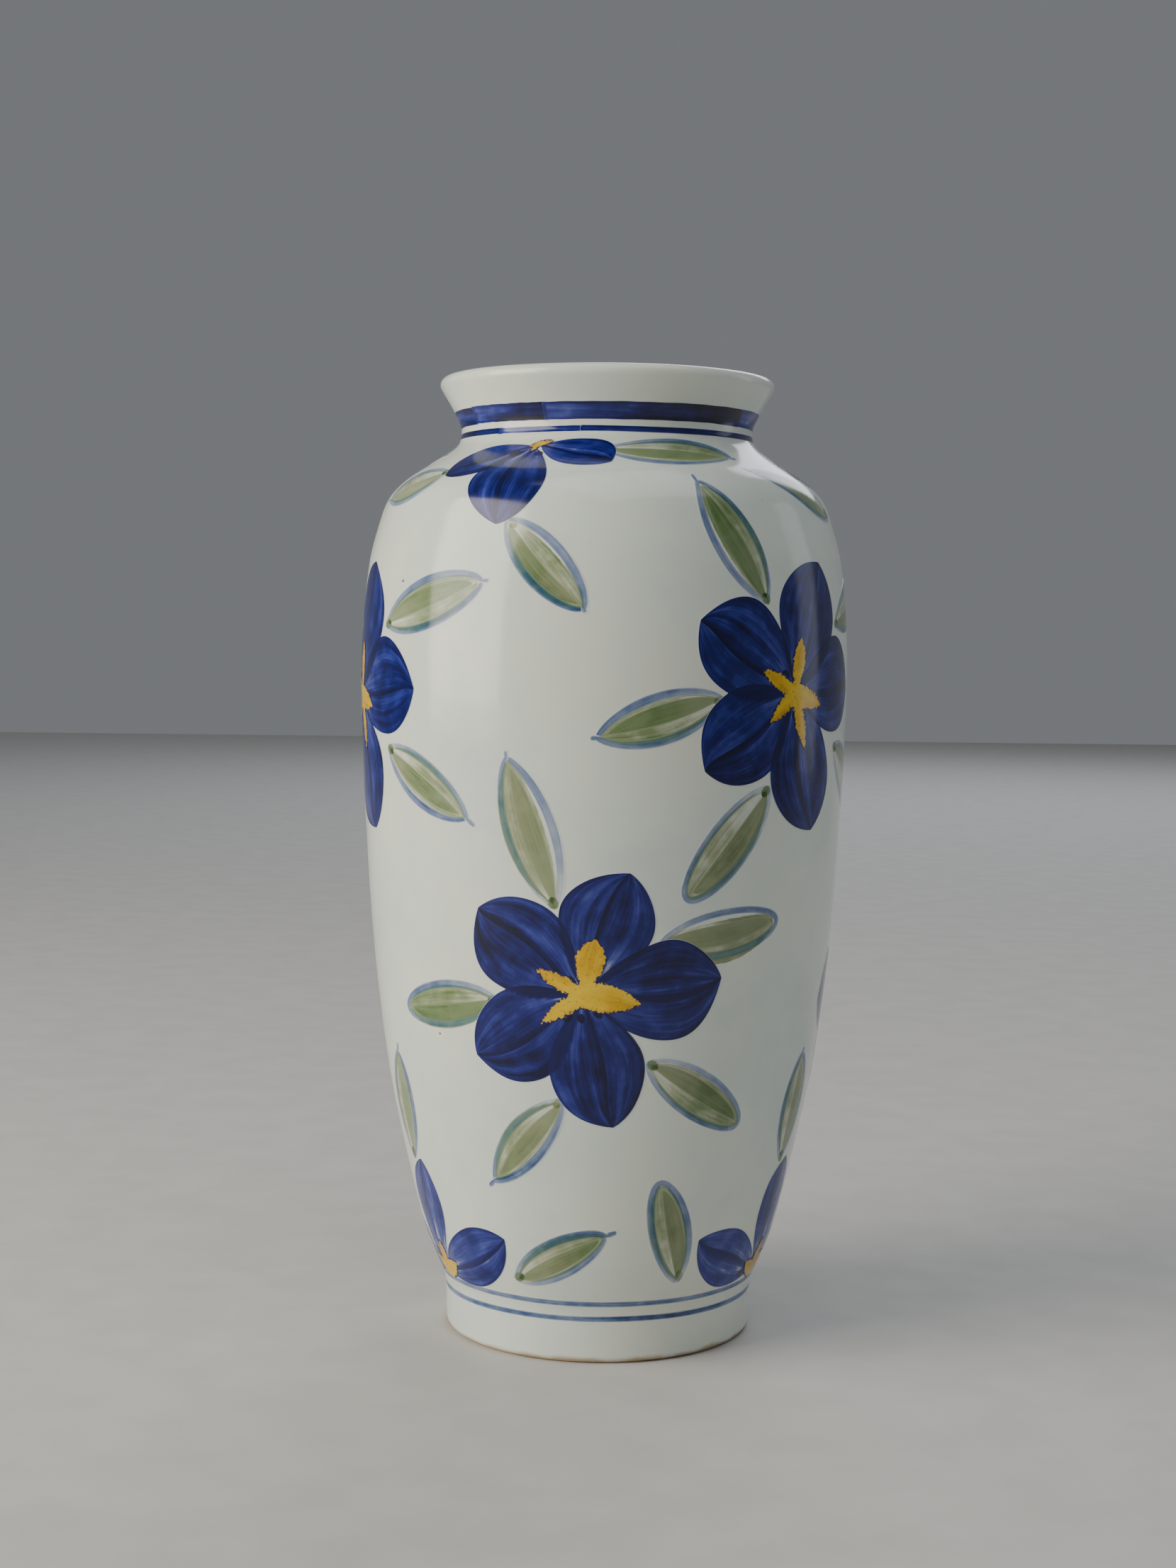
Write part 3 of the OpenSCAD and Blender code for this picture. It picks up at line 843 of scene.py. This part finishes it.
# %% Cobalt
cobalt = new_material("cobalt_brushed_under_glaze")
tree = cobalt.node_tree
laid, cover, under = pigment(tree, edge_soft=0.3, pool=0.28, lane=0.45, on_wet=0.45)
total = add(tree, "Math", {"operation": "MULTIPLY_ADD"}, {0: laid, 1: cover, 2: under})
part = add(tree, "Math", {"operation": "DIVIDE", 1: 2.3}, {0: total.outputs[0]})
cobalt_stops = [(0.0, "#8A92C2"), (0.1, "#4F5AA6"), (0.2, "#2B368C"), (0.32, "#131D6E"), (0.46, "#091055"),
                (0.64, "#050938"), (0.9, "#02041C")]
blues = add(tree, "ValToRGB", {"stops": cobalt_stops}, {"Fac": part.outputs[0]})
veil = add(tree, "MapRange", {"interpolation_type": "SMOOTHSTEP", 1: 0.0, 2: 0.3},
           {0: total.outputs[0]})
cobalt_colour = add(tree, "Mix", {"data_type": "RGBA"},
                    {0: veil.outputs[0], 6: glaze_ground(tree), 7: blues.outputs[0]})
glaze_gloss(tree, cobalt_colour.outputs[2])
print("material:", cobalt.name)

# %% [markdown]
# The green is a thin wash of copper and iron. It is yellowish and almost bare where the brush ran dry,
# and olive where it is thick. A second slow noise shifts it between a warm and a cool green.

# %% Green wash
green_wash = new_material("green_wash_under_glaze")
tree = green_wash.node_tree
laid, cover, under = pigment(tree, track=0.65, edge_soft=0.6, pool=0.06, lane=0.7, on_wet=0.6)
total = add(tree, "Math", {"operation": "MULTIPLY_ADD"}, {0: laid, 1: cover, 2: under})
part = add(tree, "Math", {"operation": "DIVIDE", 1: 1.6}, {0: total.outputs[0]})
warm_stops = [(0.0, "#D9DACB"), (0.16, "#C0C6AC"), (0.33, "#98A280"), (0.58, "#6B7A50"), (0.95, "#40562C")]
cool_stops = [(0.0, "#D3DACD"), (0.16, "#B4BEA4"), (0.33, "#879870"), (0.58, "#57743F"), (0.95, "#295226")]
warm = add(tree, "ValToRGB", {"stops": warm_stops}, {"Fac": part.outputs[0]})
cool = add(tree, "ValToRGB", {"stops": cool_stops}, {"Fac": part.outputs[0]})
where = add(tree, "TexCoord").outputs["Object"]
drift = add(tree, "TexNoise", {"Scale": per_mm(28), "Detail": 1.0}, {"Vector": where})
shift = add(tree, "MapRange", {1: 0.42, 2: 0.6}, {0: drift.outputs["Fac"]})
greens = add(tree, "Mix", {"data_type": "RGBA"},
             {0: shift.outputs[0], 6: warm.outputs[0], 7: cool.outputs[0]})
veil = add(tree, "MapRange", {"interpolation_type": "SMOOTHSTEP", 1: 0.0, 2: 0.4},
           {0: total.outputs[0]})
green_colour = add(tree, "Mix", {"data_type": "RGBA"},
                   {0: veil.outputs[0], 6: glaze_ground(tree), 7: greens.outputs[2]})
glaze_gloss(tree, green_colour.outputs[2])
print("material:", green_wash.name)

# %% [markdown]
# The outline is a thin cobalt. On bare glaze it is a pale lilac blue, and over the green wash it turns
# teal. The pigment under the line, which each vertex remembers, chooses between the two.

# %% Blue line
blue_line = new_material("thin_cobalt_line_under_glaze")
tree = blue_line.node_tree
laid, cover, under = pigment(tree, track=0.6, edge_soft=0.7, pool=0.1, lane=0.7)
amount = add(tree, "Math", {"operation": "MULTIPLY"}, {0: laid, 1: cover})
part = add(tree, "Math", {"operation": "DIVIDE", 1: 1.5}, {0: amount.outputs[0]})
bare_stops = [(0.0, "#BAC4D0"), (0.3, "#8D9CB9"), (0.55, "#62789E"), (0.8, "#405888"), (1.0, "#2A3F6B")]
teal_stops = [(0.0, "#82967C"), (0.3, "#66857E"), (0.55, "#436972"), (0.8, "#2C5062"), (1.0, "#1E3C50")]
on_bare = add(tree, "ValToRGB", {"stops": bare_stops}, {"Fac": part.outputs[0]})
on_green = add(tree, "ValToRGB", {"stops": teal_stops}, {"Fac": part.outputs[0]})
over = add(tree, "MapRange", {1: 0.02, 2: 0.35}, {0: under})
blues = add(tree, "Mix", {"data_type": "RGBA"},
            {0: over.outputs[0], 6: on_bare.outputs[0], 7: on_green.outputs[0]})
wash_stops = [(0.1, "#C2C8AE"), (0.45, "#939C74"), (0.9, "#6B784C")]
washed = add(tree, "ValToRGB", {"stops": wash_stops}, {"Fac": under})
on_wash = add(tree, "MapRange", {1: 0.0, 2: 0.16}, {0: under})
ground = add(tree, "Mix", {"data_type": "RGBA"},
             {0: on_wash.outputs[0], 6: glaze_ground(tree), 7: washed.outputs[0]})
veil = add(tree, "MapRange", {"interpolation_type": "SMOOTHSTEP", 1: 0.0, 2: 0.35},
           {0: amount.outputs[0]})
line_colour = add(tree, "Mix", {"data_type": "RGBA"},
                  {0: veil.outputs[0], 6: ground.outputs[2], 7: blues.outputs[2]})
glaze_gloss(tree, line_colour.outputs[2])
print("material:", blue_line.name)

# %% [markdown]
# The yellow is a thick enamel, so it covers the blue. It is deep where it is thick and pale where it is
# thin, and it has a fine grain. A stiff brush misses some of the ground along the edge of a dab. So a
# fine noise decides how far in from the edge the dark blue still shows.

# %% Yellow
yellow = new_material("yellow_enamel_dabbed")
tree = yellow.node_tree
laid, under = pigment(tree, track=1.0, pool=0.0)[::2]
part = add(tree, "MapRange", {1: 0.3, 2: 1.3}, {0: laid})
gold_stops = [(0.0, "#ECC932"), (0.45, "#DCAF10"), (1.0, "#BC8A04")]
golds = add(tree, "ValToRGB", {"stops": gold_stops}, {"Fac": part.outputs[0]})
where = add(tree, "TexCoord").outputs["Object"]
grain = add(tree, "TexNoise", {"Scale": per_mm(0.9), "Detail": 3.0}, {"Vector": where})
grit = add(tree, "MapRange", {1: 0.6, 2: 0.7, 3: 0.0, 4: 0.6}, {0: grain.outputs["Fac"]})
gritty = add(tree, "Mix", {"data_type": "RGBA", 7: hex_to_linear("#8A6420")},
             {0: grit.outputs[0], 6: golds.outputs[0]})
coat = add(tree, "Attribute", {"attribute_name": "coat"}).outputs["Vector"]
edge = add(tree, "SeparateXYZ", {}, {0: coat}).outputs["X"]
inner = add(tree, "Math", {"operation": "ADD"}, {0: edge, 1: under})
missed = add(tree, "MapRange", {1: 0.35, 2: 0.65, 3: 0.05, 4: 0.9}, {0: grain.outputs["Fac"]})
margin = add(tree, "Math", {"operation": "SUBTRACT"},
             {0: inner.outputs[0], 1: missed.outputs[0]})
held = add(tree, "MapRange", {1: -0.15, 2: 0.15}, {0: margin.outputs[0]})
yellow_colour = add(tree, "Mix", {"data_type": "RGBA", 6: hex_to_linear("#141E5C")},
                    {0: held.outputs[0], 7: gritty.outputs[2]})
glaze_gloss(tree, yellow_colour.outputs[2])
print("material:", yellow.name)

# %% [markdown]
# ### Clay
#
# The foot ring is fired stoneware without glaze: matt, warm and sandy. The ten rings of wall are the
# same clay. They lie between the two coats of glaze and are only seen if the vase is cut open, but
# they get the clay's finish too. Grains of sand are 0.3 to 0.8 mm across.

# %% Bare clay
def clay(name, pale, dark):
    material = new_material(name)
    tree = material.node_tree
    where = add(tree, "TexCoord").outputs["Object"]
    stain = add(tree, "TexNoise", {"Scale": per_mm(12), "Detail": 3.0}, {"Vector": where})
    sand = add(tree, "TexNoise", {"Scale": per_mm(0.6), "Detail": 2.0}, {"Vector": where})
    blend = add(tree, "Math", {"operation": "MULTIPLY_ADD", 1: 0.5},
                {0: sand.outputs["Fac"], 2: stain.outputs["Fac"]})
    colour = add(tree, "ValToRGB", {"stops": [(0.5, dark), (0.95, pale)]},
                 {"Fac": blend.outputs[0]})
    rough = add(tree, "MapRange", {3: 0.7, 4: 0.92}, {0: sand.outputs["Fac"]})
    bump = add(tree, "Bump", {"Strength": 0.5, "Distance": 0.1 * mm},
               {"Height": sand.outputs["Fac"]})
    shader = add(tree, "BsdfPrincipled", {"IOR": 1.5},
                 {"Base Color": colour.outputs[0], "Roughness": rough.outputs[0],
                  "Normal": bump.outputs[0]})
    add(tree, "OutputMaterial", {}, {"Surface": shader.outputs[0]})
    return material


bare_clay = clay("unglazed_stoneware_foot", "#D9C6A6", "#AD9068")
fired_clay = clay("fired_stoneware_wall", "#EFE8DA", "#D8CDB8")
print("materials:", bare_clay.name, fired_clay.name)

# %% [markdown]
# ## Putting it together
#
# Every piece gets its material and rides on the one body of this model, and the CAD nodes that it
# replaces are hidden. The clay rings keep their CAD meshes and only get the new clay.

# %% Materials, bodies and slots
materials = {"cobalt_paint": cobalt, "green_paint": green_wash, "blue_line_paint": blue_line,
             "yellow_paint": yellow, "glaze": glaze, "bare_clay": bare_clay}
pieces += [(glaze_coat, "glaze"), (underside_coat, "glaze"), (foot_ring, "bare_clay")]
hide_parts("outer_glaze", "inner_glaze")
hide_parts("underside_glaze")
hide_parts("foot_ring")
for piece, finish in pieces:
    piece.data.materials.clear()
    piece.data.materials.append(materials[finish])
    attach(piece, "root")
wall_rings = ["base_floor", "heel_wall", "lower_wall", "middle_wall", "upper_wall", "shoulder_wall",
              "collar_wall", "neck_wall", "rim_lip"]
for name in wall_rings:
    for material_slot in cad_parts[name].material_slots:
        material_slot.material = fired_clay
print("pieces:", len(pieces), " faces:", sum(len(piece.data.polygons) for piece, finish in pieces))

# %% [markdown]
# ## The studio
#
# A glossy pot is lit with large soft lights, because it mirrors them. A broad one on the left draws the
# long faint highlight of a window. A weak narrow one behind on the right closes the other side. Wide
# ones above and far behind keep the shade open. The floor is plain and pale.

# %% Floor, lights and background
bpy.ops.object.select_all(action="DESELECT")
bpy.ops.mesh.primitive_plane_add(size=6, location=(0, 1.2, 0))
floor = named("studio_floor")
bpy.ops.object.transform_apply(location=True)
paper = new_material("matt_floor_paper")
tree = paper.node_tree
where = add(tree, "TexCoord").outputs["Object"]
fibre = add(tree, "TexNoise", {"Scale": 40.0, "Detail": 4.0}, {"Vector": where})
paper_colour = add(tree, "ValToRGB", {"stops": [(0.35, "#C9C8C4"), (0.65, "#CFCECA")]},
                   {"Fac": fibre.outputs["Fac"]})
paper_shader = add(tree, "BsdfPrincipled", {"Roughness": 0.8},
                   {"Base Color": paper_colour.outputs[0]})
add(tree, "OutputMaterial", {}, {"Surface": paper_shader.outputs[0]})
floor.data.materials.append(paper)
floor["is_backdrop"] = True

world = bpy.data.worlds.new("studio")
bpy.context.scene.world = world
world.use_nodes = True
world.node_tree.nodes["Background"].inputs["Color"].default_value = hex_to_linear("#C4C8CC")
world.node_tree.nodes["Background"].inputs["Strength"].default_value = 0.32


def soft_light(name, place, aim, wide, tall, watts, colour):
    bpy.ops.object.light_add(type="AREA", location=place)
    lamp = bpy.context.object
    lamp.name = name
    lamp.rotation_euler = (Vector(aim) - Vector(place)).to_track_quat("-Z", "Y").to_euler()
    lamp.data.shape = "RECTANGLE"
    lamp.data.size = wide
    lamp.data.size_y = tall
    lamp.data.energy = watts
    lamp.data.color = hex_to_linear(colour)[:3]


soft_light("key_window", (-1.3, -0.55, 0.65), (0, 0, 0.15), 1.1, 1.2, 26, "#FFF6E8")
soft_light("side_strip", (1.1, 0.35, 0.45), (0, 0, 0.15), 0.3, 0.8, 0.6, "#EAF1FF")
soft_light("top_fill", (0.2, -0.3, 1.5), (0, 0, 0.1), 1.2, 1.2, 5, "#FFFFFF")
soft_light("back_fill", (0.7, 2.6, 1.8), (0, 0.8, 0), 1.6, 1.6, 22, "#F2F5FF")
print("studio ready")

# %% [markdown]
# ## The camera
#
# The picture is taken from the front, a little over two vase heights away and at two thirds of its height.
# The lens is 54.5 mm on a frame 36 mm tall. The camera looks slightly down, and it is turned and
# tilted by a fraction of a degree, as a hand-held camera is.

# %% Camera
camera_data = bpy.data.cameras.new("camera")
camera = bpy.data.objects.new("camera", camera_data)
bpy.context.collection.objects.link(camera)
camera_data.sensor_fit = "VERTICAL"
camera_data.sensor_height = 36
camera_data.lens = 54.54
down, left, tilt = math.radians(3.65), math.radians(0.363), math.radians(0.612)
aim = Matrix.Rotation(left, 4, "Z") @ Matrix.Rotation(math.pi / 2 - down, 4, "X")
aim = aim @ Matrix.Rotation(tilt, 4, "Z")
camera.matrix_world = Matrix.Translation((0, -0.7536, 0.2207)) @ aim
bpy.context.scene.camera = camera
print("camera at", [round(c, 3) for c in camera.location])

# %% [markdown]
# ## Sizes
#
# The last step: the finished vase may be no larger than the CAD model. Both boxes are measured and
# printed.

# %% Print the two boxes
seen_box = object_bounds()
boxes = [[list(corner) for corner in box] for box in (cad_box, seen_box)]
for box in boxes:
    print("box, mm:", [[round(c / mm, 2) for c in corner] for corner in box])
